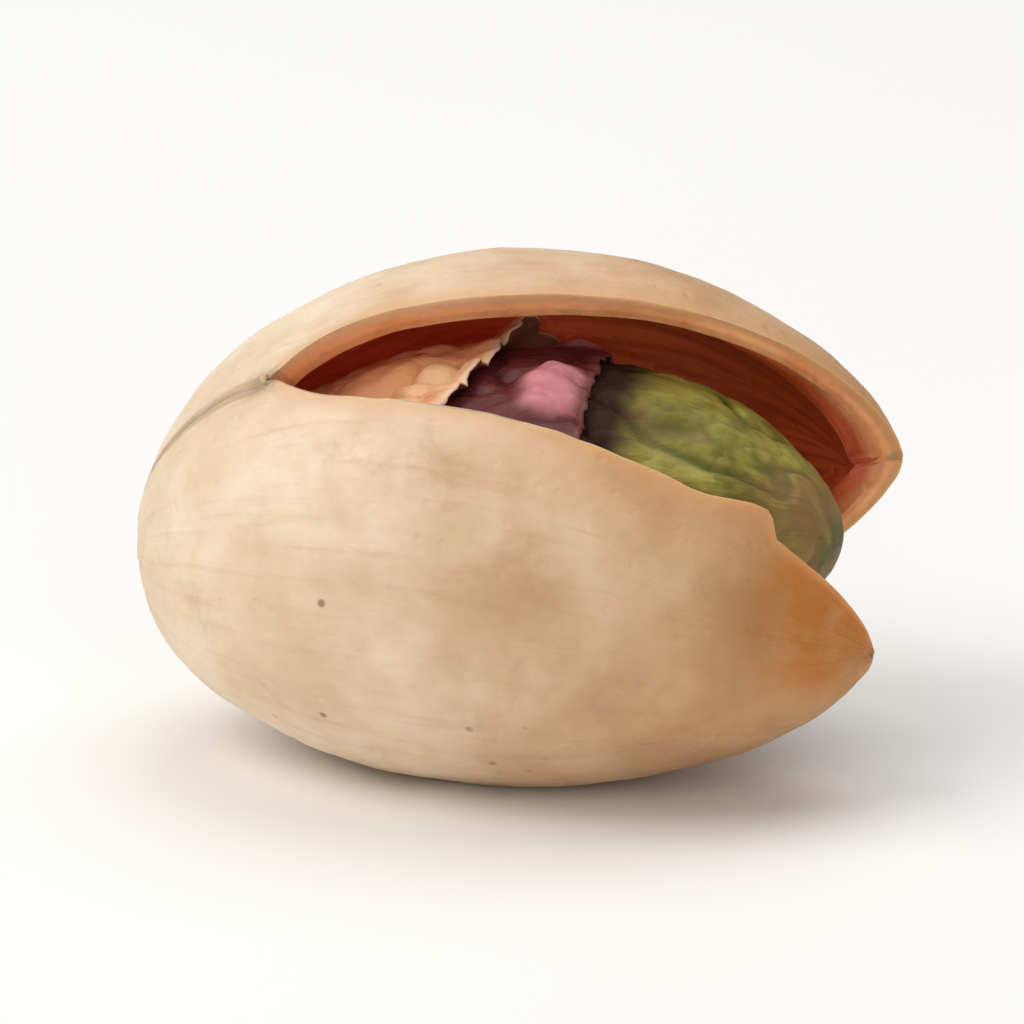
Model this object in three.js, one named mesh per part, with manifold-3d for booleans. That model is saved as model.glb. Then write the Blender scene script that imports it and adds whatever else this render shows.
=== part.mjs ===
// A pistachio nut in its split shell, in millimetres, +Z up.
//
// Each piece starts in the nut's own frame, with the shell still closed:
//   +x runs from the stem end to the tip,
//   +z points at the seam that splits most (the belly), -z at the back,
//   the seam lies in the plane y = 0, between the two half shells.
// The nut is then rolled on to its side, rests on a small flat spot, and the origin is put
// at the middle of its footprint.
import * as THREE from "three";
import { mergeVertices } from "three/addons/utils/BufferGeometryUtils.js";
import Module from "manifold-3d";

const wasm = await Module();
wasm.setup();

// ---------- driving dimensions ----------

const LENGTH = 19.7; // stem end to tip, without the beak
const WIDTH = 11.8; // belly to back, in the seam plane
const THICKNESS = 13.6; // across both half shells while they are closed
const WALL = 0.9;
const TIP_WALL = 1.3; // the shell is thicker where it comes to its point
const BOW = 1.2; // how far the middle of the nut swells towards its belly

const STEM_POINT = 0.94; // 1 is a full round end, less is blunter, more is more pointed
const TIP_POINT = 1.12;
const BEAK = 0.15; // the little point that stands out at the tip
const BEAK_SPREAD = 0.3; // how far round the tip the beak reaches, in radians

const SLIT = 0.08; // width of the seam's cut on the back and at the tip
const LIP = 1.5; // on the belly each lip has shrunk back this far from the seam,
const LIP_RUN = 2.4; // most of it within this distance from where the split starts
const BELLY_SPLIT = 0.21; // where the split starts, as a share of the length: on the belly,
const BACK_SPLIT = 0.2; // and on the back
const SPREAD = 0.317; // each half shell bends outwards to this slope
const SPREAD_RUN = 14.5; // the slope grows from nothing to SPREAD over this distance

const KERNEL = { length: 16, width: 8.4, thickness: 9.6, bow: 0.7, stem: 1, tip: 1.1, beak: 0 };
const KERNEL_PLACE = new THREE.Vector3(0.15, -0.2, 0.3);
const KERNEL_TURN = THREE.MathUtils.degToRad(1); // it lies midway between the half shells
const KERNEL_RISE = THREE.MathUtils.degToRad(3); // and its tip looks out towards the belly

const SKIN_GAP = 0.08; // between the kernel and its skin
const SKIN_THICKNESS = 0.22;
const SKIN_EDGE = 1.8; // where the skin is torn off, from the kernel's middle towards its tip
const SKIN_TEETH = 9; // points of the torn edge, all round
const SKIN_TOOTH = 1.1;

const ROLL = THREE.MathUtils.degToRad(28); // the seam plane leans this far from upright
const PITCH = THREE.MathUtils.degToRad(-2.5); // and the tip lies a little higher
const FLAT_DEPTH = 0.28; // what the flat spot takes off the shell's lowest point

const RINGS = 20; // facets from end to end
const SIDES = 32; // facets all round
const KERNEL_RINGS = 18;
const KERNEL_SIDES = 28;
const GAP_STEPS = 18; // facets along each lip

// ---------- shapes ----------

// The share of the full girth at angle t along the nut, 0 at the stem end and PI at the tip.
function girth(t, stem, tip) {
  const peak = (stem / (stem + tip)) ** (stem / 2) * (tip / (stem + tip)) ** (tip / 2);
  return (Math.sin(t / 2) ** stem * Math.cos(t / 2) ** tip) / peak;
}

// A round nut body: a sphere whose every ring is moved to the girth that the nut has there.
function nutBody({ length, width, thickness, bow, stem, tip, beak }, sides, rings) {
  const body = new THREE.SphereGeometry(1, sides, rings).rotateZ(Math.PI / 2);
  const at = body.getAttribute("position");
  for (let i = 0; i < at.count; i++) {
    const t = Math.acos(THREE.MathUtils.clamp(-at.getX(i), -1, 1));
    const around = Math.hypot(at.getY(i), at.getZ(i)) || 1;
    const share = girth(t, stem, tip);
    at.setXYZ(
      i,
      (at.getX(i) * length) / 2 + beak * Math.exp(-(((Math.PI - t) / BEAK_SPREAD) ** 2)),
      (share * thickness * at.getY(i)) / around / 2,
      (share * width * at.getZ(i)) / around / 2 + bow * share,
    );
  }
  return body;
}

function toSolid(geometry) {
  const bare = geometry.clone();
  bare.deleteAttribute("normal");
  bare.deleteAttribute("uv");
  const merged = mergeVertices(bare, 1e-4);
  return new wasm.Manifold(
    new wasm.Mesh({
      numProp: 3,
      vertProperties: new Float32Array(merged.getAttribute("position").array),
      triVerts: new Uint32Array(merged.index.array),
    }),
  );
}

function toGeometry(solid) {
  const mesh = solid.getMesh();
  const geometry = new THREE.BufferGeometry();
  geometry.setAttribute("position", new THREE.BufferAttribute(mesh.vertProperties, 3));
  geometry.setIndex(new THREE.BufferAttribute(mesh.triVerts, 1));
  return geometry;
}

// The split ends on this line in the seam plane, which runs from the belly down to the back.
const bellyEnd = new THREE.Vector3((BELLY_SPLIT - 0.5) * LENGTH, 0, WIDTH / 2);
const backEnd = new THREE.Vector3((BACK_SPLIT - 0.5) * LENGTH, 0, -WIDTH / 2);
const hinge = bellyEnd.clone().sub(backEnd).normalize();
const tipward = new THREE.Vector3(hinge.z, 0, -hinge.x);

// Bends each half shell outwards beyond the hinge line, most where the split starts. The
// middle of the nut keeps its length, so the outside stays smooth.
function spread(geometry) {
  const at = geometry.getAttribute("position");
  const point = new THREE.Vector3();
  for (let i = 0; i < at.count; i++) {
    point.fromBufferAttribute(at, i);
    const reach = point.clone().sub(bellyEnd).dot(tipward);
    if (reach <= 0) continue;
    const run = Math.min(reach / SPREAD_RUN, 1);
    const angle = Math.asin(SPREAD * run * (2 - run));
    const opened = SPREAD * (SPREAD_RUN * (run ** 2 - run ** 3 / 3) + Math.max(reach - SPREAD_RUN, 0));
    const side = Math.sign(point.y);
    const turned = reach * Math.cos(angle) - side * point.y * Math.sin(angle);
    const across = point.y * Math.cos(angle) + side * opened;
    point.addScaledVector(tipward, turned - reach);
    at.setXYZ(i, point.x, across, point.z);
  }
  return geometry;
}

// ---------- pieces ----------

// A thin blade that fills the seam plane beyond the hinge line.
function seamSlit() {
  const blade = new THREE.BoxGeometry(2 * LENGTH, SLIT, 4 * WIDTH).translate(LENGTH, 0, 0);
  blade.rotateY(Math.atan2(hinge.x, hinge.z));
  return blade.translate(bellyEnd.x, 0, bellyEnd.z);
}

// The gap between the two lips on the belly, a long leaf as seen from above.
function bellyGap() {
  const start = bellyEnd.x;
  const run = LENGTH / 2 + BEAK - start;
  const lip = [];
  for (let i = 0; i <= GAP_STEPS; i++) {
    const share = (i / GAP_STEPS) ** 2;
    const back = LIP * (1 - Math.exp((-2 * share * run) / LIP_RUN)) * (1 - share ** 3);
    lip.push(new THREE.Vector2(start + share * run, back));
  }
  const otherLip = lip.slice(1, -1).map((p) => new THREE.Vector2(p.x, -p.y));
  const leaf = new THREE.Shape([...lip, ...otherLip.reverse()]);
  return new THREE.ExtrudeGeometry(leaf, { depth: WIDTH, bevelEnabled: false });
}

function makeShell() {
  const ends = { stem: STEM_POINT, tip: TIP_POINT, bow: BOW, beak: BEAK };
  const outside = { length: LENGTH, width: WIDTH, thickness: THICKNESS, ...ends };
  const inside = {
    length: LENGTH - WALL - TIP_WALL,
    width: WIDTH - 2 * WALL,
    thickness: THICKNESS - 2 * WALL,
    ...ends,
  };
  const outer = nutBody(outside, SIDES, RINGS);
  const inner = nutBody(inside, SIDES, RINGS);
  inner.translate((WALL - TIP_WALL) / 2, 0, 0);

  const closed = toSolid(outer)
    .subtract(toSolid(inner))
    .subtract(toSolid(seamSlit()))
    .subtract(toSolid(bellyGap()));
  return spread(toGeometry(closed));
}

function makeKernel() {
  return nutBody(KERNEL, KERNEL_SIDES, KERNEL_RINGS);
}

// The kernel's own shape, bigger all round by a gap.
function aroundKernel(gap) {
  const { length, width, thickness } = KERNEL;
  const grown = { length: length + 2 * gap, width: width + 2 * gap, thickness: thickness + 2 * gap };
  return toSolid(nutBody({ ...KERNEL, ...grown }, KERNEL_SIDES, KERNEL_RINGS));
}

// A round bar from the torn edge to beyond the tip. Its flat end zigzags along x, so that it
// leaves a ragged edge on what it cuts.
function tornAway() {
  const bar = new THREE.CylinderGeometry(KERNEL.width, KERNEL.width, LENGTH, 4 * SKIN_TEETH, 1);
  bar.rotateZ(-Math.PI / 2);
  bar.translate(SKIN_EDGE + LENGTH / 2, 0, 0);
  const at = bar.getAttribute("position");
  for (let i = 0; i < at.count; i++) {
    const isEnd = at.getX(i) < SKIN_EDGE + LENGTH / 2;
    const isRim = Math.hypot(at.getY(i), at.getZ(i)) > KERNEL.width / 2;
    if (!isEnd || !isRim) continue;
    const turn = Math.atan2(at.getZ(i), at.getY(i));
    const ragged = Math.sin(SKIN_TEETH * turn) + 0.8 * Math.sin(2 * turn + 1) + 0.5 * Math.sin(5 * turn);
    at.setX(i, at.getX(i) + SKIN_TOOTH * ragged);
  }
  return toSolid(bar);
}

// The papery skin still wraps the stem half of the kernel.
function makeSkin() {
  const bag = aroundKernel(SKIN_GAP + SKIN_THICKNESS).subtract(aroundKernel(SKIN_GAP));
  return toGeometry(bag.subtract(tornAway()));
}

// ---------- the nut, put together ----------

function piece(name, geometry, color, roughness) {
  const material = new THREE.MeshStandardMaterial({ color, roughness, metalness: 0 });
  const mesh = new THREE.Mesh(geometry, material);
  mesh.name = name;
  return mesh;
}

const nut = new THREE.Group();
nut.rotation.set(ROLL, PITCH, 0, "YXZ");
nut.updateMatrix();

// The flat spot is a level cut through the shell's lowest point.
const openShell = makeShell();
const standing = openShell.clone().applyMatrix4(nut.matrix);
standing.computeBoundingBox();
const floorLevel = standing.boundingBox.min.z + FLAT_DEPTH;
const table = new THREE.BoxGeometry(3 * LENGTH, 3 * LENGTH, LENGTH);
table.translate(0, 0, floorLevel - LENGTH / 2);
table.applyMatrix4(nut.matrix.clone().invert());
const shell = toGeometry(toSolid(openShell).subtract(toSolid(table)));

const seed = new THREE.Group();
seed.position.copy(KERNEL_PLACE);
seed.rotation.set(0, -KERNEL_RISE, KERNEL_TURN);
seed.add(piece("kernel", makeKernel(), 0x8f9440, 0.5));
seed.add(piece("kernel_skin", makeSkin(), 0xa86a62, 0.7));

nut.add(piece("shell", shell, 0xe2c49a, 0.55));
nut.add(seed);

const part = new THREE.Group();
part.add(nut);
part.updateMatrixWorld(true);
const box = new THREE.Box3().setFromObject(part, true);
nut.position.x -= (box.min.x + box.max.x) / 2;
nut.position.y -= (box.min.y + box.max.y) / 2;
nut.position.z -= box.min.z;

export default part;
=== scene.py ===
# %% [markdown]
# # A pistachio in its split shell
#
# The real nut is three pieces: a woody shell that has split along its seam but is still
# joined at the stem end, a green kernel that lies loose in it, and what is left of the
# kernel's papery coat. Each piece follows a rule, so each is worked out in Geometry Nodes
# from a few sizes. The sizes are those of the CAD model, so everything lands in its frame.

# %% Load the frame
import math

import bpy
from mathutils import Matrix, Vector


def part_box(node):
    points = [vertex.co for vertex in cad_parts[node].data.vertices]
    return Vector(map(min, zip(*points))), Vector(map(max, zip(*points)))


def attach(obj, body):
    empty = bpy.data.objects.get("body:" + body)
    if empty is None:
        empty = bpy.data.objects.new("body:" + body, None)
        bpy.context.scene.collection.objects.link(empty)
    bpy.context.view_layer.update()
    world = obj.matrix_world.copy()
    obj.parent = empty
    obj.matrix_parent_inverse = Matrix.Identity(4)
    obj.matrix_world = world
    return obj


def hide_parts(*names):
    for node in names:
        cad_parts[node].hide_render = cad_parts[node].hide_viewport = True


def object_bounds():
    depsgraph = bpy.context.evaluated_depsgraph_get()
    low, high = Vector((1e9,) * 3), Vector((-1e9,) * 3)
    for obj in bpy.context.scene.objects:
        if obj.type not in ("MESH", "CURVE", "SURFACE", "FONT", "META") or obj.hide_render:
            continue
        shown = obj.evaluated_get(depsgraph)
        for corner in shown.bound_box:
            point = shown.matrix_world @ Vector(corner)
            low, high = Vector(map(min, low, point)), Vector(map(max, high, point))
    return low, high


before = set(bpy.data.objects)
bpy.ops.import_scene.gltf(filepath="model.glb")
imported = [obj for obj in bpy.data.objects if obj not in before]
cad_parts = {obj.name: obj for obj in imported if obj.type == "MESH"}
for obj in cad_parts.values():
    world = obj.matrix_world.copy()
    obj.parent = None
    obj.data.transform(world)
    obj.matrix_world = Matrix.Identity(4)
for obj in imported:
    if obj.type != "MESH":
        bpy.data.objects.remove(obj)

MM = 0.001
WELD = 0.001 * MM
cad_low, cad_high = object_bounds()
shell_low, shell_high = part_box("shell")
print("CAD box, mm:", [round(side / MM, 2) for side in cad_high - cad_low])

# %% [markdown]
# ## The camera
#
# The nut is seen from a little above the table through a long lens, so that its near and far
# halves keep their true proportions. A short lens close by would bulge the near half. The
# distance is worked out from the nut's length, so that it fills most of the frame.

# %% Camera
AZIMUTH = math.radians(10)
ELEVATION = math.radians(17)
LENS = 400
SENSOR = 36
FILL = 0.74

middle = (cad_low + cad_high) / 2
toward_camera = Vector((
    math.sin(AZIMUTH) * math.cos(ELEVATION),
    -math.cos(AZIMUTH) * math.cos(ELEVATION),
    math.sin(ELEVATION),
))
distance = (cad_high.x - cad_low.x) / FILL * LENS / SENSOR
camera_data = bpy.data.cameras.new("camera")
camera_data.lens = LENS
camera_data.sensor_width = SENSOR
camera_data.clip_start = 0.01
camera = bpy.data.objects.new("camera", camera_data)
camera.location = middle + toward_camera * distance
camera.rotation_mode = "QUATERNION"
camera.rotation_quaternion = (-toward_camera).to_track_quat("-Z", "Y")
bpy.context.collection.objects.link(camera)
bpy.context.scene.camera = camera
print("camera distance, mm:", round(distance / MM))

# %% [markdown]
# ## Writing node trees as sums
#
# A shape that follows a formula needs dozens of Math nodes. Placing them by hand in the node
# editor works, but a formula is hard to read there. Here a small class stands for one wire
# of a tree, and each sum or product of wires adds the right node, so the script reads like
# the formula itself. The same class serves shapes and materials.

# %% Wires
class Wire:
    """One value in a node tree. Arithmetic on it adds Math nodes."""

    def __init__(self, tree, socket):
        self.tree = tree
        self.socket = socket

    def __add__(self, other):
        return calc(self.tree, "ADD", self, other)

    def __sub__(self, other):
        return calc(self.tree, "SUBTRACT", self, other)

    def __rsub__(self, other):
        return calc(self.tree, "SUBTRACT", other, self)

    def __mul__(self, other):
        return calc(self.tree, "MULTIPLY", self, other)

    def __truediv__(self, other):
        return calc(self.tree, "DIVIDE", self, other)

    def __pow__(self, other):
        return calc(self.tree, "POWER", self, other)

    def __neg__(self):
        return self * -1

    __radd__ = __add__
    __rmul__ = __mul__


# %% Adding nodes
def add_node(tree, kind, feeds=None, **settings):
    """Adds a node. Feeds are wires or plain values, by the name or number of the socket."""
    node = tree.nodes.new(kind)
    node.location = (180 * (len(tree.nodes) % 12), -220 * (len(tree.nodes) // 12))
    for name, setting in settings.items():
        setattr(node, name, setting)
    for name, value in (feeds or {}).items():
        if isinstance(value, Wire):
            tree.links.new(value.socket, node.inputs[name])
        else:
            node.inputs[name].default_value = value
    return node


def wire_from(tree, kind, feeds=None, output=0, **settings):
    return Wire(tree, add_node(tree, kind, feeds, **settings).outputs[output])


def calc(tree, operation, *values):
    return wire_from(tree, "ShaderNodeMath", dict(enumerate(values)), operation=operation)


# %% Functions of one value
def sin(angle):
    return calc(angle.tree, "SINE", angle)


def cos(angle):
    return calc(angle.tree, "COSINE", angle)


def arcsin(share):
    return calc(share.tree, "ARCSINE", share)


def exp(power):
    return calc(power.tree, "EXPONENT", power)


def absolute(value):
    return calc(value.tree, "ABSOLUTE", value)


def larger(value, other):
    return calc(value.tree, "MAXIMUM", value, other)


def smaller(value, other):
    return calc(value.tree, "MINIMUM", value, other)


def ramp(value, start, end):
    """0 up to start, 1 from end on, and a smooth rise between them."""
    feeds = {"Value": value, "From Min": start, "From Max": end}
    return wire_from(value.tree, "ShaderNodeMapRange", feeds, interpolation_type="SMOOTHSTEP")


# %% Vectors and patterns
def xyz(tree, x, y, z):
    return wire_from(tree, "ShaderNodeCombineXYZ", {"X": x, "Y": y, "Z": z})


def parts_of(vector):
    node = add_node(vector.tree, "ShaderNodeSeparateXYZ", {0: vector})
    return [Wire(vector.tree, socket) for socket in node.outputs]


def stretched(vector, x, y, z):
    feeds = {0: vector, 1: (x, y, z)}
    return wire_from(vector.tree, "ShaderNodeVectorMath", feeds, operation="MULTIPLY")


def noise(place, per_mm=1.0, detail=2.0, roughness=0.5, distortion=0.0):
    """Smooth noise between 0 and 1, with this many lumps per millimetre."""
    feeds = {"Vector": place, "Scale": per_mm / MM, "Detail": detail}
    feeds |= {"Roughness": roughness, "Distortion": distortion}
    return wire_from(place.tree, "ShaderNodeTexNoise", feeds)


def cells(place, per_mm):
    """How far each place is from the nearest of a scatter of points, in cell sizes."""
    feeds = {"Vector": place, "Scale": per_mm / MM}
    return wire_from(place.tree, "ShaderNodeTexVoronoi", feeds, "Distance")


# %% [markdown]
# ## Trees with named sizes
#
# A tree is only reusable if its sizes are inputs. Each tree below lists its sizes by name,
# and the modifier gets its values through the identifiers of those inputs, because names
# are only labels. Every tree ends in Realize Instances and Set Material.

# %% Trees
SOCKET_KINDS = {int: "NodeSocketInt", float: "NodeSocketFloat", bpy.types.Material: "NodeSocketMaterial"}


def new_tree(name, sizes):
    """A geometry tree with one named input for each size, and the wires that carry them."""
    tree = bpy.data.node_groups.new(name, "GeometryNodeTree")
    tree.interface.new_socket("Geometry", in_out="OUTPUT", socket_type="NodeSocketGeometry")
    tree.interface.new_socket("Geometry", in_out="INPUT", socket_type="NodeSocketGeometry")
    for label, value in sizes.items():
        tree.interface.new_socket(label, in_out="INPUT", socket_type=SOCKET_KINDS[type(value)])
    entry = tree.nodes.new("NodeGroupInput")
    return tree, {socket.name: Wire(tree, socket) for socket in entry.outputs if socket.name}


def end_tree(tree, mesh, material):
    real = wire_from(tree, "GeometryNodeRealizeInstances", {"Geometry": mesh})
    finished = wire_from(tree, "GeometryNodeSetMaterial", {"Geometry": real, "Material": material})
    add_node(tree, "NodeGroupOutput", {0: finished})


def add_tree(piece, tree, sizes):
    modifier = piece.modifiers.new(tree.name, "NODES")
    modifier.node_group = tree
    for item in tree.interface.items_tree:
        if item.in_out == "INPUT" and item.name in sizes:
            modifier[item.identifier] = sizes[item.name]


# %% Pieces, and making them plain
def new_piece(name):
    piece = bpy.data.objects.new(name, bpy.data.meshes.new(name))
    bpy.context.collection.objects.link(piece)
    return piece


def make_plain(piece):
    """Swaps the piece's modifiers for the mesh that they make."""
    depsgraph = bpy.context.evaluated_depsgraph_get()
    plain = bpy.data.meshes.new_from_object(piece.evaluated_get(depsgraph), depsgraph=depsgraph)
    piece.modifiers.clear()
    piece.data = plain
    plain.shade_smooth()
    triangles = sum(len(face.vertices) - 2 for face in plain.polygons)
    print(piece.name, "has", triangles, "triangles")


# %% Attributes and moving points
def store(mesh, name, value, kind="FLOAT"):
    feeds = {"Geometry": mesh, "Name": name, "Value": value}
    return wire_from(mesh.tree, "GeometryNodeStoreNamedAttribute", feeds, data_type=kind, domain="POINT")


def store_on(mesh, selection, name, value):
    feeds = {"Geometry": mesh, "Selection": selection, "Name": name, "Value": value}
    return wire_from(mesh.tree, "GeometryNodeStoreNamedAttribute", feeds, data_type="FLOAT", domain="POINT")


def recall(tree, name, kind="FLOAT"):
    return wire_from(tree, "GeometryNodeInputNamedAttribute", {"Name": name}, data_type=kind)


def position(tree):
    return wire_from(tree, "GeometryNodeInputPosition")


def normal(tree):
    return wire_from(tree, "GeometryNodeInputNormal")


def moved_to(mesh, place, only=True):
    feeds = {"Geometry": mesh, "Selection": only, "Position": place}
    return wire_from(mesh.tree, "GeometryNodeSetPosition", feeds)


def moved_by(mesh, offset):
    return wire_from(mesh.tree, "GeometryNodeSetPosition", {"Geometry": mesh, "Offset": offset})


def pushed(mesh, height):
    """Moves the surface along its own normals."""
    feeds = {0: normal(mesh.tree), "Scale": height}
    return moved_by(mesh, wire_from(mesh.tree, "ShaderNodeVectorMath", feeds, operation="SCALE"))


def welded(mesh):
    """Merges the points that two sheets share."""
    feeds = {"Geometry": mesh, "Distance": WELD}
    return wire_from(mesh.tree, "GeometryNodeMergeByDistance", feeds)


def joined(mesh, other):
    join = add_node(mesh.tree, "GeometryNodeJoinGeometry")
    mesh.tree.links.new(mesh.socket, join.inputs[0])
    mesh.tree.links.new(other.socket, join.inputs[0])
    return Wire(mesh.tree, join.outputs[0])


def flipped(mesh):
    return wire_from(mesh.tree, "GeometryNodeFlipFaces", {"Mesh": mesh})


def unit_grid(tree, size):
    """A square sheet of points, and how far each is from its middle, along it and across it."""
    grid = wire_from(tree, "GeometryNodeMeshGrid", {
        "Size X": 1.0, "Size Y": 1.0, "Vertices X": size["Rings"], "Vertices Y": size["Sides"],
    })
    along, across, _ = parts_of(position(tree))
    return grid, along, across


# %% [markdown]
# ## Colours and how they mix
#
# Colours are given as a painter reads them off a sample, 0 to 255, and turned into the light
# values that Cycles works with.

# %% Material helpers
def paint(red, green, blue):
    def light(value):
        share = value / 255
        return share / 12.92 if share <= 0.04045 else ((share + 0.055) / 1.055) ** 2.4

    return light(red), light(green), light(blue), 1.0


def blend(amount, first, second):
    """The first colour where amount is 0 and the second where it is 1."""
    feeds = {"Factor": amount, 6: first, 7: second}
    return wire_from(amount.tree, "ShaderNodeMix", feeds, 2, data_type="RGBA")


def bumped(height, depth_mm, under=None):
    """A surface normal for small relief, this deep where height goes from 0 to 1."""
    feeds = {"Height": height, "Distance": depth_mm * MM}
    if under is not None:
        feeds["Normal"] = under
    return wire_from(height.tree, "ShaderNodeBump", feeds)


def new_material(name):
    """An empty material with its shader, and the place on the piece that patterns use."""
    material = bpy.data.materials.new(name)
    material.use_nodes = True
    tree = material.node_tree
    tree.nodes.clear()
    shader = add_node(tree, "ShaderNodeBsdfPrincipled")
    output = add_node(tree, "ShaderNodeOutputMaterial")
    tree.links.new(shader.outputs[0], output.inputs["Surface"])
    place = wire_from(tree, "ShaderNodeTexCoord", output="Object")
    return material, shader, place


def attribute(tree, name, output="Fac"):
    return wire_from(tree, "ShaderNodeAttribute", output=output, attribute_name=name)


def connect(shader, **feeds):
    """Feeds wires into the shader's sockets, named with _ for a blank."""
    tree = shader.id_data
    for name, wire in feeds.items():
        tree.links.new(wire.socket, shader.inputs[name.replace("_", " ")])


# %% [markdown]
# ## The shell's finish
#
# A roasted shell is cream at the stem and more tan towards the tip, the tan there partly painted
# shade, and never one colour: it is softly mottled, has fine darker grain from end to end, a few
# brown specks and stains, and an orange blush where the hull stuck to it. The broken edge and the
# lip just inside it are orange-tan, and the lining below them is a deep red-brown, smooth and a
# little glossy, painted lighter at the stem end as light and darker towards the tip as shade. The
# wall is thin enough for some light to come through it, and that light is red. One material
# covers it all, because the colours run into each other. Attributes that the shape tree
# stores say where the outside, the inside and the edge are, and carry the grain round the nut.

# %% Shell material
def make_shell_material():
    material, shader, place = new_material("shell")
    tree = material.node_tree
    inside = attribute(tree, "inside")
    along = attribute(tree, "u")
    grain = attribute(tree, "grain", "Vector")
    edge = attribute(tree, "edge")
    tip = attribute(tree, "tip")
    seam = attribute(tree, "seam")
    scar = attribute(tree, "scar")

    mottle = noise(place, 0.26, 4, 0.6)
    clouds = noise(place, 0.9, 3, 0.6)
    lines = noise(stretched(grain, 0.1, 1, 1), 2.2, 4, 0.65)
    cream = blend(ramp(mottle, 0.32, 0.7), paint(243, 223, 198), paint(228, 201, 168))
    tan = blend(ramp(mottle, 0.32, 0.7), paint(204, 159, 110), paint(181, 135, 87))
    # Cream at the stem, tan towards the tip; the deeper tan at the tip is partly painted shade.
    outside = blend(ramp(along + 0.3 * (mottle - 0.5), 0.2, 0.92), cream, tan)
    outside = blend(ramp(clouds, 0.45, 0.8) * 0.22, outside, paint(201, 163, 120))
    outside = blend(ramp(lines, 0.5, 0.75) * 0.28, outside, paint(188, 146, 104))

    stain_and_painted_shadow = ramp(noise(place, 0.22, 5, 0.7, 0.6), 0.56, 0.72) * ramp(clouds, 0.3, 0.6)
    outside = blend(stain_and_painted_shadow * 0.32, outside, paint(176, 128, 82))
    warm = ramp(edge, 3.2 * MM, 0.4 * MM) * ramp(along, 0.4, 0.7)
    outside = blend(warm * 0.4, outside, paint(204, 148, 92))
    blush = tip * (0.55 + 0.45 * ramp(clouds, 0.3, 0.6))
    outside = blend(blush * 0.9, outside, paint(184, 110, 22))
    specks = ramp(cells(place, 0.9), 0.13, 0.05) * ramp(noise(place, 0.35, 2), 0.52, 0.6)
    outside = blend(specks * 0.7, outside, paint(122, 76, 42))
    outside = blend(ramp(edge, 0.8 * MM, 0.0) * 0.45, outside, paint(214, 160, 106))
    outside = blend(seam * 0.45, outside, paint(158, 124, 88))
    outside = blend(scar * (0.5 + 0.5 * ramp(clouds, 0.4, 0.6)), outside, paint(146, 108, 74))

    veins = noise(stretched(grain, 0.2, 1, 1), 1.2, 4, 0.6)
    # Painted light and shade on the red-brown lining: lighter at the stem end, darker towards the tip.
    lining = blend(ramp(veins, 0.35, 0.7), paint(250, 150, 92), paint(226, 112, 60))
    lining_tip_shade = blend(ramp(veins, 0.35, 0.7), paint(206, 92, 44), paint(168, 66, 28))
    lining = blend(ramp(along, 0.5, 0.85), lining, lining_tip_shade)
    lip = blend(ramp(clouds, 0.35, 0.7), paint(226, 160, 108), paint(206, 134, 82))
    lining = blend(ramp(edge, 1.1 * MM, 0.25 * MM), lining, lip)
    torn = blend(ramp(clouds, 0.4, 0.7), paint(240, 178, 122), paint(226, 152, 96))
    colour = blend(ramp(inside, 0.12, 0.5), outside, torn)
    colour = blend(ramp(inside, 0.62, 0.9), colour, lining)

    fine = noise(place, 3.2, 4, 0.65)
    roughness = 0.5 + 0.16 * fine - 0.14 * ramp(inside, 0.6, 0.9)
    relief = bumped(lines, 0.04)
    relief = bumped(fine, 0.035, relief)
    relief = bumped(ramp(cells(place, 1.6), 0.0, 0.28), 0.03, relief)
    connect(shader, Base_Color=colour, Roughness=roughness, Normal=relief)
    shader.inputs["Subsurface Weight"].default_value = 0.35
    shader.inputs["Subsurface Radius"].default_value = (1.0, 0.32, 0.12)
    shader.inputs["Subsurface Scale"].default_value = 1.4 * MM
    shader.inputs["Specular IOR Level"].default_value = 0.4
    return material


shell_material = make_shell_material()

# %% [markdown]
# ## The kernel's finish
#
# The flesh is yellow-green, greener in its creases and painted darker there as shade, with a
# purple-brown bloom where the coat has left its colour, a nearly black painted shadow beside the
# coat's edge, and dull tan patches towards the tip. It is slightly oily and lets light in a little
# way, so it gets a soft subsurface glow and a low roughness, except in the painted shadow, which
# is dull.

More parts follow.
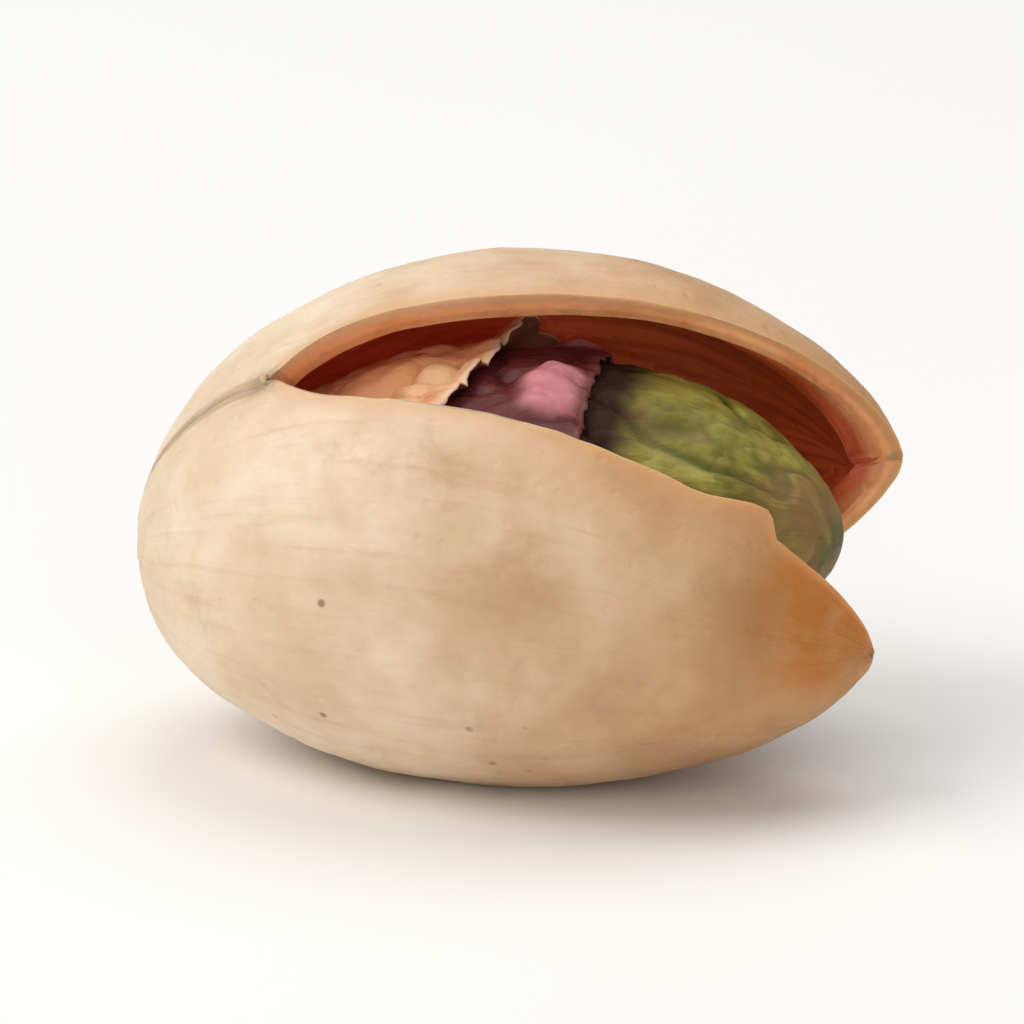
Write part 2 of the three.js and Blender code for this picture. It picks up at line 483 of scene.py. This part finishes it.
# %% Kernel material
def make_kernel_material():
    material, shader, place = new_material("kernel")
    tree = material.node_tree
    crease = attribute(tree, "crease")
    bare = attribute(tree, "bare")
    grain = attribute(tree, "grain", "Vector")

    clouds = noise(place, 0.45, 4, 0.6)
    streaks = noise(stretched(grain, 0.22, 1, 1), 1.3, 4, 0.6, 0.4)
    colour = blend(ramp(clouds, 0.38, 0.62), paint(166, 158, 68), paint(116, 106, 32))
    # Greener in the creases is the kernel's own colour; darker there is painted shade.
    colour = blend(ramp(crease, 0.3, 0.9) * 0.75, colour, paint(82, 92, 26))
    colour = blend(ramp(streaks, 0.52, 0.72) * 0.6, colour, paint(150, 112, 70))
    bloom = ramp(streaks, 0.35, 0.65) * ramp(bare, 2.6 * MM, -0.4 * MM)
    colour = blend(bloom * 0.9, colour, paint(130, 78, 62))
    colour = blend(ramp(bare, 3.2 * MM, 0.6 * MM) * 0.4, colour, paint(96, 76, 20))
    # Painted shadow: nearly black just beside the coat's edge, where the coat and its puffs shade the
    # kernel.
    stain_and_painted_shadow = ramp(bare, 1.7 * MM, 0.6 * MM) * 0.95
    colour = blend(stain_and_painted_shadow, colour, paint(44, 14, 8))
    flecks = ramp(noise(place, 1.6, 3, 0.7), 0.62, 0.72)
    colour = blend(flecks * 0.5, colour, paint(118, 78, 48))
    # Dull tan patches towards the tip.
    tip_tan_patches = ramp(bare, 3.4 * MM, 5.4 * MM) * ramp(noise(place, 0.5, 3, 0.6), 0.4, 0.58)
    colour = blend(tip_tan_patches * 0.7, colour, paint(146, 104, 66))

    fine = noise(stretched(grain, 0.4, 1, 1), 4, 3, 0.6)
    relief = bumped(streaks, 0.12)
    relief = bumped(fine, 0.04, relief)
    roughness = 0.38 + 0.2 * fine + 0.4 * stain_and_painted_shadow
    connect(shader, Base_Color=colour, Roughness=roughness, Normal=relief)
    shader.inputs["Subsurface Weight"].default_value = 0.3
    shader.inputs["Subsurface Radius"].default_value = (0.9, 1.0, 0.35)
    shader.inputs["Subsurface Scale"].default_value = 0.5 * MM
    shader.inputs["Specular IOR Level"].default_value = 0.3
    return material


kernel_material = make_kernel_material()

# %% [markdown]
# ## The papery coat's finish
#
# The coat is thinner than paper. Its outer layer dries to a dull orange-tan, and the layer
# under it is a dusty pink. Where a layer stands up in a pucker it is painted paler as light, and
# where it lies low or in a fold it is painted darker as shade, dark maroon on the pink; the folds
# are also partly the coat's own darker colour. The torn edge of the outer layer is cream, its own
# paler colour with a painted highlight, and the side that faced the kernel is painted a dull
# red-brown as shade. The two layers share one recipe with different colours.

# %% Coat materials
def make_coat_material(name, high, low, fold_colour_and_shade, rim):
    material, shader, place = new_material(name)
    tree = material.node_tree
    grain = attribute(tree, "grain", "Vector")
    inside = attribute(tree, "inside")
    raised = attribute(tree, "raised")
    torn = attribute(tree, "torn")

    clouds = noise(place, 0.42, 3, 0.6, 0.5)
    folds = noise(stretched(grain, 0.3, 1, 1), 1.4, 4, 0.65, 0.5)
    # Painted light and shade: lighter where the coat stands up in a puff, darker where it lies low.
    height = ramp(raised + 0.3 * (clouds - 0.5), 0.15, 0.75)
    colour = blend(height, low, high)
    # Darker along the folds: partly the coat's own dark colour, partly painted shade.
    colour = blend(ramp(folds, 0.52, 0.72) * 0.7, colour, fold_colour_and_shade)
    # The torn edge's colour; on the tan coat the cream is partly its own paler colour and partly a painted
    # highlight.
    colour = blend(ramp(torn, 0.3 * MM, 0.05 * MM) * 0.75, colour, rim)
    # The side that faced the kernel is painted a dull red-brown as shade.
    colour = blend(ramp(inside, 0.4, 0.8), colour, paint(170, 104, 80))

    fine = noise(place, 4, 4, 0.6)
    relief = bumped(folds, 0.1)
    relief = bumped(fine, 0.03, relief)
    connect(shader, Base_Color=colour, Roughness=0.4 + 0.25 * fine, Normal=relief)
    shader.inputs["Subsurface Weight"].default_value = 0.15
    shader.inputs["Subsurface Radius"].default_value = (1.0, 0.4, 0.3)
    shader.inputs["Subsurface Scale"].default_value = 0.3 * MM
    return material


pink_material = make_coat_material(
    "pink coat",
    high=paint(210, 132, 138),
    low=paint(98, 36, 34),
    fold_colour_and_shade=paint(72, 24, 22),
    rim=paint(126, 66, 62),
)
tan_material = make_coat_material(
    "tan coat",
    high=paint(252, 198, 150),
    low=paint(242, 172, 120),
    fold_colour_and_shade=paint(168, 90, 58),
    # Cream torn edge: its own paler colour with a painted highlight.
    rim=paint(244, 216, 184),
)

# %% [markdown]
# ## The rule of a nut body
#
# Cut across, a nut is nearly round. Along its length the girth grows quickly from the stem
# and falls off more slowly towards the tip. One formula with a "point" for each end gives
# that outline: 1 is a full round end, and more is more pointed. Shell, kernel and coat all
# use it. The angle t runs along the nut, 0 at the stem and pi at the tip.

# %% Nut body rule
OVER_SURFACE = 1.2  # the way over the surface, from end to end, is about this much longer


def girth(t, stem_point, tip_point):
    """The share of the full girth at angle t along the nut."""
    both = stem_point + tip_point
    peak = (stem_point / both) ** (stem_point / 2) * (tip_point / both) ** (tip_point / 2)
    rise = larger(sin(t / 2), 0) ** stem_point
    fall = larger(cos(t / 2), 0) ** tip_point
    return rise * fall / peak


# %% [markdown]
# ## The shell's shape
#
# The shell could be cut with booleans, but cuts leave ragged meshes that are hard to bend.
# It is easier to lay the wall out as it grew. A flat grid becomes one half shell: its long
# side runs from stem to tip, its short side from the belly lip round to the back. The lips
# stand back from the seam where the shell has split. Beyond a line across the seam plane the
# half bends outwards, which opens the gape. The other half is its mirror image, and where
# the two still touch they are merged, so the shell stays one piece. The wall is a second,
# smaller copy of the same rule, made by extruding the sheet inwards.

# %% Shell sizes
SHELL = {
    "Length": 19.7 * MM,
    "Width": 11.8 * MM,
    "Thickness": 13.6 * MM,
    "Wall": 0.9 * MM,
    "Tip Wall": 1.3 * MM,
    "Lip Wall": 0.85,  # the share of the wall that is left at the lips
    "Tip Lip Wall": 0.5,  # and at the lips near the tip
    "Bow": 1.2 * MM,  # how far the middle swells towards the belly
    "Stem Point": 0.94,
    "Tip Point": 1.12,
    "Beak": 0.15 * MM,
    "Beak Spread": 0.3,  # radians round the tip
    "Slit": 0.08 * MM,  # the width of the seam's cut on the back
    "Lip": 1.5 * MM,  # how far each lip has shrunk back from the seam
    "Lip Run": 2.4 * MM,  # most of it within this distance
    "Belly Split": 0.21,  # where the split starts, as a share of the length
    "Back Split": 0.2,
    "Slope": 0.317,  # each half bends outwards to this slope
    "Bend Run": 14.5 * MM,  # over this distance
    "Rings": 76,
    "Sides": 52,
    "Material": shell_material,
}


# %% A point of the wall
def wall_point(size, u, w, gap, middle_shift):
    """A point of one half shell: u along it, w from belly to back, gap inside the outside."""
    tree = u.tree
    length = size["Length"] - gap * size["Wall"] - gap * size["Tip Wall"]
    width = size["Width"] - 2 * gap * size["Wall"]
    thickness = size["Thickness"] - 2 * gap * size["Wall"]
    t = u * math.pi
    share = girth(t, size["Stem Point"], size["Tip Point"])
    beak = size["Beak"] * exp(-(((math.pi - t) / size["Beak Spread"]) ** 2))
    x = beak - cos(t) * length / 2 + middle_shift

    belly_x = (size["Belly Split"] - 0.5) * size["Length"]
    back_x = (size["Back Split"] - 0.5) * size["Length"]
    run = size["Length"] / 2 + size["Beak"] - belly_x
    along = smaller(larger((x - belly_x) / run, 0), 1)
    lip = size["Lip"] * (1 - exp(-2 * along * run / size["Lip Run"])) * (1 - along ** 3)
    lip = lip * (0.9 + 0.2 * noise(xyz(tree, x, 0, 0), 0.9, 3, 0.6))
    half = share * thickness / 2 + 1e-9
    start = arcsin(smaller(lip / half, 0.99))

    lean = back_x - belly_x
    hinge = (lean * lean + size["Width"] * size["Width"]) ** 0.5
    tipward_x = size["Width"] / hinge
    tipward_z = lean / hinge

    def reach_of(z):
        return (x - belly_x) * tipward_x + (z - size["Width"] / 2) * tipward_z

    is_split = calc(tree, "GREATER_THAN", reach_of(-1 * share * width / 2), 0)
    end = math.pi - arcsin(smaller(size["Slit"] / 2 / half, 0.9)) * is_split
    turn = start + (end - start) * w
    y = share * thickness / 2 * sin(turn)
    z = share * width / 2 * cos(turn) + size["Bow"] * share

    reach = larger(reach_of(z), 0)
    bend = smaller(reach / size["Bend Run"], 1)
    slope = size["Slope"] * bend * (2 - bend)
    upright = (1 - slope * slope) ** 0.5
    opened = size["Bend Run"] * (bend ** 2 - bend ** 3 / 3) + larger(reach - size["Bend Run"], 0)
    shift = reach * upright - y * slope - reach
    place = xyz(tree, x + shift * tipward_x, y * upright + size["Slope"] * opened, z + shift * tipward_z)
    return place, turn, reach_of(z)


# %% [markdown]
# The tree lays out one half, mirrors and flips it, and merges the two. It stores on the sheet
# where each point of the wall's inner side goes, so that one Extrude can make the whole wall.
# The other half reads its grain from another part of the noise, or it would be a twin.

# %% Shell tree
OTHER_GRAIN = (0, 0, 30 * MM)
THINNED = 2.0 * MM  # the wall has its whole thickness this far from the lips


def make_shell_tree():
    tree, size = new_tree("split shell", SHELL)
    sheet, along, across = unit_grid(tree, size)
    sheet = store(sheet, "u", along + 0.5)
    sheet = store(sheet, "w", across + 0.5)
    u, w = recall(tree, "u"), recall(tree, "w")

    outer, turn, reach = wall_point(size, u, w, 0.0, 0.0)
    radius = size["Thickness"] / 2
    grain = xyz(tree, u * size["Length"] * OVER_SURFACE, turn * radius, 0)
    sheet = store(sheet, "grain", grain, "FLOAT_VECTOR")
    from_rim = (0.5 - absolute(w - 0.5)) * math.pi * radius
    sheet = store(sheet, "edge", from_rim + larger(-1 * reach, 0) * 2)
    sheet = store(sheet, "reach", reach)
    sheet = store(sheet, "inside", 0.0)

    inner_shift = (size["Wall"] - size["Tip Wall"]) / 2
    inner, _, _ = wall_point(size, u, w, 1.0, inner_shift)
    whole = ramp(from_rim + larger(-1 * reach, 0), 0, THINNED)
    at_rim = size["Lip Wall"] + (size["Tip Lip Wall"] - size["Lip Wall"]) * ramp(u, 0.45, 0.8)
    kept = at_rim + (1 - at_rim) * whole
    feeds = {"Factor": kept, 4: outer, 5: inner}
    thinned = wire_from(tree, "ShaderNodeMix", feeds, 1, data_type="VECTOR")
    sheet = store(sheet, "inner place", thinned, "FLOAT_VECTOR")
    sheet = moved_to(sheet, outer)

    other = wire_from(tree, "GeometryNodeTransform", {"Geometry": sheet, "Scale": (1, -1, 1)})
    mirrored = recall(tree, "inner place", "FLOAT_VECTOR")
    other = store(other, "inner place", stretched(mirrored, 1, -1, 1), "FLOAT_VECTOR")
    feeds = {0: recall(tree, "grain", "FLOAT_VECTOR"), 1: OTHER_GRAIN}
    shifted = wire_from(tree, "ShaderNodeVectorMath", feeds, operation="ADD")
    other = store(other, "grain", shifted, "FLOAT_VECTOR")
    both = welded(joined(flipped(other), sheet))

    wall = add_node(tree, "GeometryNodeExtrudeMesh", {
        "Mesh": both, "Offset Scale": 0.0, "Individual": False,
    })
    top = Wire(tree, wall.outputs["Top"])
    lining = moved_to(Wire(tree, wall.outputs["Mesh"]), recall(tree, "inner place", "FLOAT_VECTOR"), top)
    lining = store_on(lining, top, "inside", 1.0)
    end_tree(tree, welded(joined(flipped(lining), both)), size["Material"])
    return tree


shell_tree = make_shell_tree()
print("shell tree has", len(shell_tree.nodes), "nodes")

# %% [markdown]
# ## The shell's relief
#
# A formula alone looks like moulded plastic. The real wall sags and swells a little, has
# fine grain lines and small pits outside, a low ridge where the closed seam runs round the
# stem end, and a scar where the nut hung on its stalk. These are real heights, a few
# hundredths of a millimetre, pushed along the normals of the finished, dense mesh. Painted
# on as bump alone they would be lost in the outline. One lip has not broken clean: near the
# tip a small tooth stands up from it and ends in a step, so there the lip itself is moved.

# %% Shell relief
SHELL_RELIEF = {
    "Swell": 0.2 * MM,
    "Grain": 0.05 * MM,
    "Dimple": 0.05 * MM,
    "Pit": 0.05 * MM,
    "Seam Ridge": 0.07 * MM,
    "Ridge Width": 0.3 * MM,
    "Groove Width": 0.09 * MM,
    "Scar Radius": 1.2 * MM,
    "Scar Rim": 0.06 * MM,
    "Rim Roughness": 0.14 * MM,
    "Pucker": 0.14 * MM,
    "Pucker Radius": 0.45 * MM,
    "Blush Radius": 3.0 * MM,
    "Tooth": 0.65 * MM,
    "Tooth Start": 0.7,
    "Tooth End": 0.795,
    "Material": shell_material,
}
BLUSH_SPOT = (8.2 * MM, -4.2 * MM, 1.8 * MM)
STEM_END = -8 * MM
SCAR_DEPTH = 0.08 * MM
SCAR_RIM_WIDTH = 0.22 * MM
CROTCH = 0.5 * MM  # the pucker is this far before the split
TOOTH_ROOT = 1.5 * MM  # how far down the wall the tooth moves it
TOOTH_STEP = 0.004  # half the length of the step that ends it, as a share of the nut's


def make_shell_relief():
    tree, size = new_tree("shell relief", SHELL_RELIEF)
    place = position(tree)
    x, y, z = parts_of(place)
    grain = recall(tree, "grain", "FLOAT_VECTOR")
    inside, reach = recall(tree, "inside"), recall(tree, "reach")
    outer = 1 - ramp(inside, 0, 0.6)

    swell = (noise(place, 0.13, 2) - 0.5) * 2 * size["Swell"] * (1 - 2 * inside)
    lines = noise(stretched(grain, 0.12, 1, 1), 1.1, 3, 0.6) - 0.5
    dimples = noise(place, 0.75, 3, 0.55) - 0.5
    pits = ramp(cells(place, 0.55), 0.16, 0.02) * ramp(noise(place, 0.4, 1), 0.5, 0.6)
    closed = ramp(reach, 0.2 * MM, -1.6 * MM)
    ridge = exp(-((y / size["Ridge Width"]) ** 2)) * closed
    groove = exp(-((y / size["Groove Width"]) ** 2)) * closed
    from_axis = (y * y + z * z) ** 0.5
    at_stem = calc(tree, "LESS_THAN", x, STEM_END)
    ragged = from_axis + (noise(place, 1.2, 3) - 0.5) * 0.6 * MM
    scar = ramp(ragged, size["Scar Radius"] * 1.1, size["Scar Radius"] * 0.8) * at_stem
    scar_rim = exp(-(((from_axis - size["Scar Radius"]) / SCAR_RIM_WIDTH) ** 2)) * at_stem
    rough = noise(place, 2.4, 3) - 0.5
    on_belly = calc(tree, "GREATER_THAN", z, 0)
    from_split = (y * y + (reach + CROTCH) ** 2) ** 0.5
    pucker = exp(-((from_split / size["Pucker Radius"]) ** 2)) * on_belly

    height = lines * 2 * size["Grain"] + dimples * 2 * size["Dimple"] - pits * size["Pit"]
    height = height + size["Seam Ridge"] * (ridge - groove * 0.8) * (1 - scar)
    height = height + size["Scar Rim"] * scar_rim + (rough * 2 * SCAR_DEPTH - SCAR_DEPTH) * scar
    height = height - size["Pucker"] * pucker
    rim = ramp(inside, 0.05, 0.4) * ramp(inside, 0.95, 0.6)
    height = height * outer + rough * size["Rim Roughness"] * rim

    feeds = {0: place, 1: BLUSH_SPOT}
    spot = wire_from(tree, "ShaderNodeVectorMath", feeds, "Value", operation="DISTANCE")
    mesh = store(size["Geometry"], "tip", ramp(spot, size["Blush Radius"], size["Blush Radius"] * 0.3))
    mesh = store(mesh, "scar", scar)
    mesh = store(mesh, "seam", larger(groove, pucker))
    mesh = pushed(mesh, swell + height)

    u, w, edge = recall(tree, "u"), recall(tree, "w"), recall(tree, "edge")
    on_half = calc(tree, "LESS_THAN", w, 0.5) * calc(tree, "LESS_THAN", y, 0)
    near_lip = on_half * ramp(edge, TOOTH_ROOT, 0)
    broken = ramp(u, size["Tooth End"] + TOOTH_STEP, size["Tooth End"] - TOOTH_STEP)
    tooth = size["Tooth"] * near_lip * ramp(u, size["Tooth Start"], size["Tooth End"]) * broken
    mesh = moved_by(mesh, xyz(tree, 0, tooth * 0.9, tooth * 0.3))
    end_tree(tree, mesh, size["Material"])
    return tree


# %% [markdown]
# The rim is a sharp box edge so far. A real broken edge is worn a little round, so a Bevel
# takes the corners off before a Subdivision Surface makes the mesh dense enough for relief.

# %% Build the shell
split_shell = new_piece("split_shell")
add_tree(split_shell, shell_tree, SHELL)
worn_rim = split_shell.modifiers.new("worn rim", "BEVEL")
worn_rim.width = 0.2 * MM
worn_rim.segments = 2
worn_rim.limit_method = "ANGLE"
worn_rim.angle_limit = math.radians(50)
dense = split_shell.modifiers.new("dense", "SUBSURF")
dense.levels = 1
dense.render_levels = 1
add_tree(split_shell, make_shell_relief(), SHELL_RELIEF)
make_plain(split_shell)

# %% [markdown]
# ## The kernel's shape
#
# The kernel is two seed leaves pressed into the space inside the shell. It dries and shrinks
# there, so it wrinkles: long creases run from end to end and divide it into soft lumps.
# A noise field stretched along the nut gives both. Where the field crosses its middle value
# it draws a thin winding line, and that line is pressed in as a crease.

# %% Kernel sizes
KERNEL = {
    "Length": 16.0 * MM,
    "Width": 8.4 * MM,
    "Thickness": 9.6 * MM,
    "Bow": 0.7 * MM,
    "Stem Point": 1.0,
    "Tip Point": 1.1,
    "Crease": 0.28 * MM,
    "Lump": 0.3 * MM,
    "Edge": 2.1 * MM,  # the coat ends this far from the middle, towards the tip
    "Edge Swing": 1.4 * MM,  # how ragged its edge is
    "Edge Slant": 0.0,
    "Rings": 200,
    "Sides": 220,
    "Material": kernel_material,
}


# %% Kernel tree
def kernel_point(size, t, turn):
    """A point of the wrinkled kernel, and how deep in a crease it is."""
    tree = t.tree
    share = girth(t, size["Stem Point"], size["Tip Point"])
    x = -1 * cos(t) * size["Length"] / 2
    y = share * size["Thickness"] / 2 * sin(turn)
    z = share * size["Width"] / 2 * cos(turn) + size["Bow"] * share
    place = xyz(tree, x, y, z)
    field = noise(stretched(place, 0.42, 1, 1), 0.3, 2, 0.5, 0.7)
    crease = ramp(absolute(field - 0.5), 0.06, 0)
    small_field = noise(stretched(place, 0.4, 1, 1), 0.8, 2, 0.5, 0.5)
    small_crease = ramp(absolute(small_field - 0.5), 0.09, 0)
    lump = ramp(noise(place, 0.24, 1), 0.3, 0.7)
    depth = size["Crease"] * (crease + 0.35 * small_crease) + size["Lump"] * lump
    shrunk = 1 - depth / (size["Thickness"] / 2)
    return x, y * shrunk, z * shrunk, larger(crease, small_crease * 0.6)


EDGE_RING = 4.5 * MM


def torn_edge(size, turn):
    """How far along the kernel its coat reaches. The noise is read on a ring, so it closes."""
    around = xyz(turn.tree, EDGE_RING * sin(turn), EDGE_RING * cos(turn), 0)
    lobes = noise(around, 0.22, 1) - 0.5
    jags = noise(around, 0.9, 3, 0.6) - 0.5
    slant = size["Edge Slant"] * sin(turn)
    return size["Edge"] + slant + size["Edge Swing"] * (lobes * 1.6 + jags * 0.8)


def round_grid(tree, size):
    """A grid with two angles stored on it: t from end to end and turn all round."""
    sheet, along, across = unit_grid(tree, size)
    sheet = store(sheet, "t", (along + 0.5) * math.pi)
    sheet = store(sheet, "turn", across * 2 * math.pi)
    return sheet, recall(tree, "t"), recall(tree, "turn")


def make_kernel_tree():
    tree, size = new_tree("wrinkled kernel", KERNEL)
    sheet, t, turn = round_grid(tree, size)
    x, y, z, crease = kernel_point(size, t, turn)
    sheet = store(sheet, "crease", crease)
    sheet = store(sheet, "bare", x - torn_edge(size, turn))
    around = absolute(turn) * size["Thickness"] / 2
    sheet = store(sheet, "grain", xyz(tree, x * OVER_SURFACE, around, 0), "FLOAT_VECTOR")
    sheet = moved_to(sheet, xyz(tree, x, y, z))
    end_tree(tree, welded(sheet), size["Material"])
    return tree


green_kernel = new_piece("green_kernel")
add_tree(green_kernel, make_kernel_tree(), KERNEL)
make_plain(green_kernel)

# %% [markdown]
# ## The papery coat
#
# The coat clings to the kernel's stem half in two layers. The inner one is pink, follows every
# crease and stands up in a ring of puffs just before it ends; the outer one is tan, looser, and
# curls up where it has torn, with a fold under its edge that is dark partly by its own colour and
# partly by painted shade. Both are the kernel's own surface, pushed out by a small gap. The
# sheet's end is not cut: the grid is squeezed so that its last row lies on the torn edge, which
# keeps the edge fine. Then the sheet is extruded outwards to give it its thickness.

# %% Coat sizes
COAT = KERNEL | {
    "Gap": 0.06 * MM,
    "Coat Thickness": 0.07 * MM,
    "Pucker": 0.14 * MM,
    "Puff": 0.5 * MM,
    "Puff Place": 0.9 * MM,
    "Puff Spread": 0.7 * MM,
    "Puffs": 7.0,
    "Puff Turn": 0.16,
    "Curl": 0.0,
    "Curl Run": 1.0 * MM,
    "Rings": 150,
    "Sides": 200,
    "Material": pink_material,
}


# %% Coat tree
def make_coat_tree():
    tree, size = new_tree("papery coat", COAT)
    sheet, t, turn = round_grid(tree, size)
    edge_x = torn_edge(size, turn)
    edge_t = calc(tree, "ARCCOSINE", -1 * edge_x / (size["Length"] / 2))
    real_t = t / math.pi * edge_t
    x, y, z, _ = kernel_point(size, real_t, turn)
    place = xyz(tree, x, y, z)
    puckers = noise(stretched(place, 0.5, 1, 1), 1.1, 3, 0.55, 0.6)
    from_edge = edge_x - x
    patches = ramp(noise(place, 0.3, 1), 0.35, 0.6)
    curl = size["Curl"] * ramp(from_edge, size["Curl Run"], 0) * (0.4 + patches)
    ring = exp(-(((from_edge - size["Puff Place"]) / size["Puff Spread"]) ** 2))
    puff = ring * (0.1 + 0.9 * ramp(cos(size["Puffs"] * (turn - size["Puff Turn"])), -0.3, 0.8))
    lift = size["Gap"] + size["Pucker"] * puckers + curl + size["Puff"] * puff
    swollen = 1 + lift / (size["Thickness"] / 2)
    x_out = x - lift * cos(real_t)
    sheet = store(sheet, "torn", from_edge)
    sheet = store(sheet, "raised", puff)
    sheet = store(sheet, "inside", 1.0)
    around = absolute(turn) * size["Thickness"] / 2
    sheet = store(sheet, "grain", xyz(tree, x * OVER_SURFACE, around, 0), "FLOAT_VECTOR")
    sheet = welded(moved_to(sheet, xyz(tree, x_out, y * swollen, z * swollen)))

    wall = add_node(tree, "GeometryNodeExtrudeMesh", {
        "Mesh": sheet, "Offset Scale": size["Coat Thickness"], "Individual": False,
    })
    top = Wire(tree, wall.outputs["Top"])
    outside = store_on(Wire(tree, wall.outputs["Mesh"]), top, "inside", 0.0)
    end_tree(tree, welded(joined(flipped(sheet), outside)), size["Material"])
    return tree


coat_tree = make_coat_tree()
pink_coat = new_piece("pink_coat")
add_tree(pink_coat, coat_tree, COAT)
make_plain(pink_coat)

# %% Loose coat
LOOSE_COAT = COAT | {
    "Edge": -1.0 * MM,
    "Edge Swing": 1.6 * MM,
    "Edge Slant": 1.5 * MM,
    "Gap": 0.3 * MM,
    "Puff": 0.0,
    "Curl": 0.6 * MM,
    "Curl Run": 1.1 * MM,
    "Material": tan_material,
}
loose_coat = new_piece("loose_coat")
add_tree(loose_coat, coat_tree, LOOSE_COAT)
make_plain(loose_coat)

# %% [markdown]
# ## Laying the nut down
#
# So far each piece stands in the nut's own frame, with the seam plane upright. The kernel and
# its coat get their place in the shell. Then everything is rolled on to its side and set down
# so that the shell's lowest point would be a little under the floor. What is under the floor
# is pressed level, and that is the small flat spot which the nut rests on.

# %% Placing
ROLL = math.radians(28)
PITCH = math.radians(-2.5)
FLAT_DEPTH = 0.28 * MM
KERNEL_PLACE = Vector((0.15, -0.2, 0.3)) * MM
KERNEL_TURN = math.radians(1)
KERNEL_RISE = math.radians(3)

seed_place = (
    Matrix.Translation(KERNEL_PLACE)
    @ Matrix.Rotation(-KERNEL_RISE, 4, "Y")
    @ Matrix.Rotation(KERNEL_TURN, 4, "Z")
)
for piece in (green_kernel, pink_coat, loose_coat):
    piece.data.transform(seed_place)

lying = Matrix.Rotation(PITCH, 4, "Y") @ Matrix.Rotation(ROLL, 4, "X")
nut_pieces = (split_shell, green_kernel, pink_coat, loose_coat)
for piece in nut_pieces:
    piece.data.transform(lying)

corners = [[vertex.co[axis] for vertex in split_shell.data.vertices] for axis in range(3)]
low = Vector(min(values) for values in corners)
high = Vector(max(values) for values in corners)
shell_middle = (shell_low + shell_high) / 2
set_down = Vector((
    shell_middle.x - (low.x + high.x) / 2,
    shell_middle.y - (low.y + high.y) / 2,
    -low.z - FLAT_DEPTH,
))
for piece in nut_pieces:
    piece.data.transform(Matrix.Translation(set_down))
for vertex in split_shell.data.vertices:
    vertex.co.z = max(vertex.co.z, 0)
print("set down by, mm:", [round(step / MM, 2) for step in set_down])

# %% [markdown]
# ## Joining the frame
#
# Each piece stands for a CAD node, whose part is hidden, and rides on the one body.

# %% Riding on the frame
STANDS_FOR = {
    split_shell: ("shell", "shell"),
    green_kernel: ("kernel", "kernel"),
    pink_coat: ("kernel_skin", "skin"),
    loose_coat: ("kernel_skin", "skin"),
}
for piece, (node, finish) in STANDS_FOR.items():
    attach(piece, "root")
    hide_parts(node)

# %% [markdown]
# ## Table and light
#
# A pale table and large, soft lamps: the main one high on the left, as from a window, a
# weaker one in front that reaches into the gape, one behind that keeps the table white, and
# an even sky. Large lamps give the soft shadow under the nut.

# %% Table
def make_table():
    material, shader, place = new_material("table")
    cloudy = noise(place, 0.02, 2)
    connect(shader, Base_Color=blend(cloudy, paint(249, 249, 248), paint(245, 244, 242)))
    shader.inputs["Roughness"].default_value = 0.6
    half = 1.0
    mesh = bpy.data.meshes.new("table")
    level = -0.01 * MM
    square = [(-half, -half, level), (half, -half, level), (half, half, level), (-half, half, level)]
    mesh.from_pydata(square, [], [(0, 1, 2, 3)])
    mesh.materials.append(material)
    table = bpy.data.objects.new("table", mesh)
    bpy.context.collection.objects.link(table)


make_table()


# %% Lamps and sky
def soft_lamp(name, azimuth, elevation, away, width, watts, colour):
    """A square lamp that looks at the nut from this direction, in degrees."""
    lamp = bpy.data.lights.new(name, "AREA")
    lamp.size = width
    lamp.energy = watts
    lamp.color = colour
    around, up = math.radians(azimuth), math.radians(elevation)
    side = Vector((math.sin(around) * math.cos(up), -math.cos(around) * math.cos(up), math.sin(up)))
    holder = bpy.data.objects.new(name, lamp)
    holder.location = middle + side * away
    holder.rotation_mode = "QUATERNION"
    holder.rotation_quaternion = (-side).to_track_quat("-Z", "Y")
    bpy.context.collection.objects.link(holder)


soft_lamp("window", -68, 46, 0.30, 0.20, 0.47, (1.0, 0.99, 0.97))
soft_lamp("front fill", 15, 26, 0.40, 0.30, 0.42, (1.0, 0.98, 0.96))
soft_lamp("back light", 170, 65, 0.35, 0.30, 0.58, (1.0, 1.0, 1.0))

sky = bpy.data.worlds.new("sky")
sky.use_nodes = True
background = sky.node_tree.nodes["Background"]
background.inputs["Color"].default_value = (1.0, 0.995, 0.985, 1)
background.inputs["Strength"].default_value = 0.33
bpy.context.scene.world = sky
bpy.context.scene.view_settings.view_transform = "Standard"
